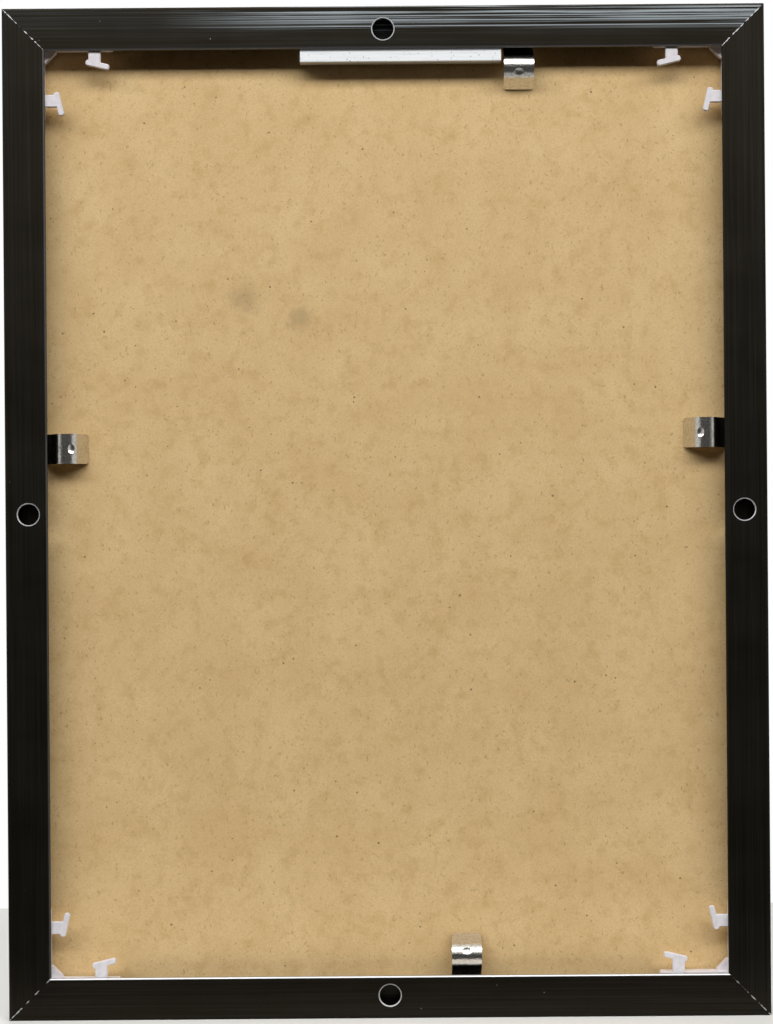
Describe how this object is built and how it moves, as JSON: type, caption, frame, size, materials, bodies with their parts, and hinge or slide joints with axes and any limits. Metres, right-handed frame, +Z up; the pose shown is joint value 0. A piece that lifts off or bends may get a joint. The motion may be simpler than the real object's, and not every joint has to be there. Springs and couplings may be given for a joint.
{
  "type": "aluminium profile picture frame",
  "caption": "Mitred black aluminium profile picture frame with fibreboard back held by bowed spring clips, moulded corner keys, sliding hanger bar and punched hanging holes",
  "frame": {"origin": "middle of the frame's overall box", "axes": "+Z up, +X to the right as seen from behind, +Y from the back towards the glazed front"},
  "size_m": [0.305, 0.0158, 0.405],
  "materials": {
    "anodised_rail": "black anodised, satin",
    "key_plastic": "moulded white, semi-matt",
    "spring_steel": "bright rolled spring steel",
    "mill_aluminium": "mill finish with fine pits",
    "hardboard": "bare fibreboard",
    "insert_paper": "uncoated off-white",
    "clear_glass": "clear float"
  },
  "bodies": {
    "frame": {"rail_top": "anodised_rail", "rail_left": "anodised_rail", "rail_right": "anodised_rail", "corner_key_top_left": "key_plastic", "corner_key_top_right": "key_plastic", "backing_board": "hardboard", "insert_sheet": "insert_paper", "glazing": "clear_glass"},
    "bottom_end": {"rail_bottom": "anodised_rail", "corner_key_bottom_left": "key_plastic", "corner_key_bottom_right": "key_plastic"},
    "top_clip": {"clip_top": "spring_steel"},
    "bottom_clip": {"clip_bottom": "spring_steel"},
    "left_clip": {"clip_left": "spring_steel"},
    "right_clip": {"clip_right": "spring_steel"},
    "hanger": {"hanger_bar": "mill_aluminium"}
  },
  "joints": [
    {"name": "bottom_rail_slide", "type": "slide", "parent": "frame", "child": "bottom_end", "axis": [0, 0, -1], "range_m": [0, 0.045]},
    {"name": "top_clip_slide", "type": "slide", "parent": "frame", "child": "top_clip", "axis": [0, 0, -1], "range_m": [0, 0.015]},
    {"name": "bottom_clip_slide", "type": "slide", "parent": "bottom_end", "child": "bottom_clip", "axis": [0, 0, 1], "range_m": [0, 0.015]},
    {"name": "left_clip_slide", "type": "slide", "parent": "frame", "child": "left_clip", "axis": [1, 0, 0], "range_m": [0, 0.015]},
    {"name": "right_clip_slide", "type": "slide", "parent": "frame", "child": "right_clip", "axis": [-1, 0, 0], "range_m": [0, 0.015]},
    {"name": "hanger_slide", "type": "slide", "parent": "frame", "child": "hanger", "axis": [-1, 0, 0], "range_m": [0, 0.074]}
  ]
}
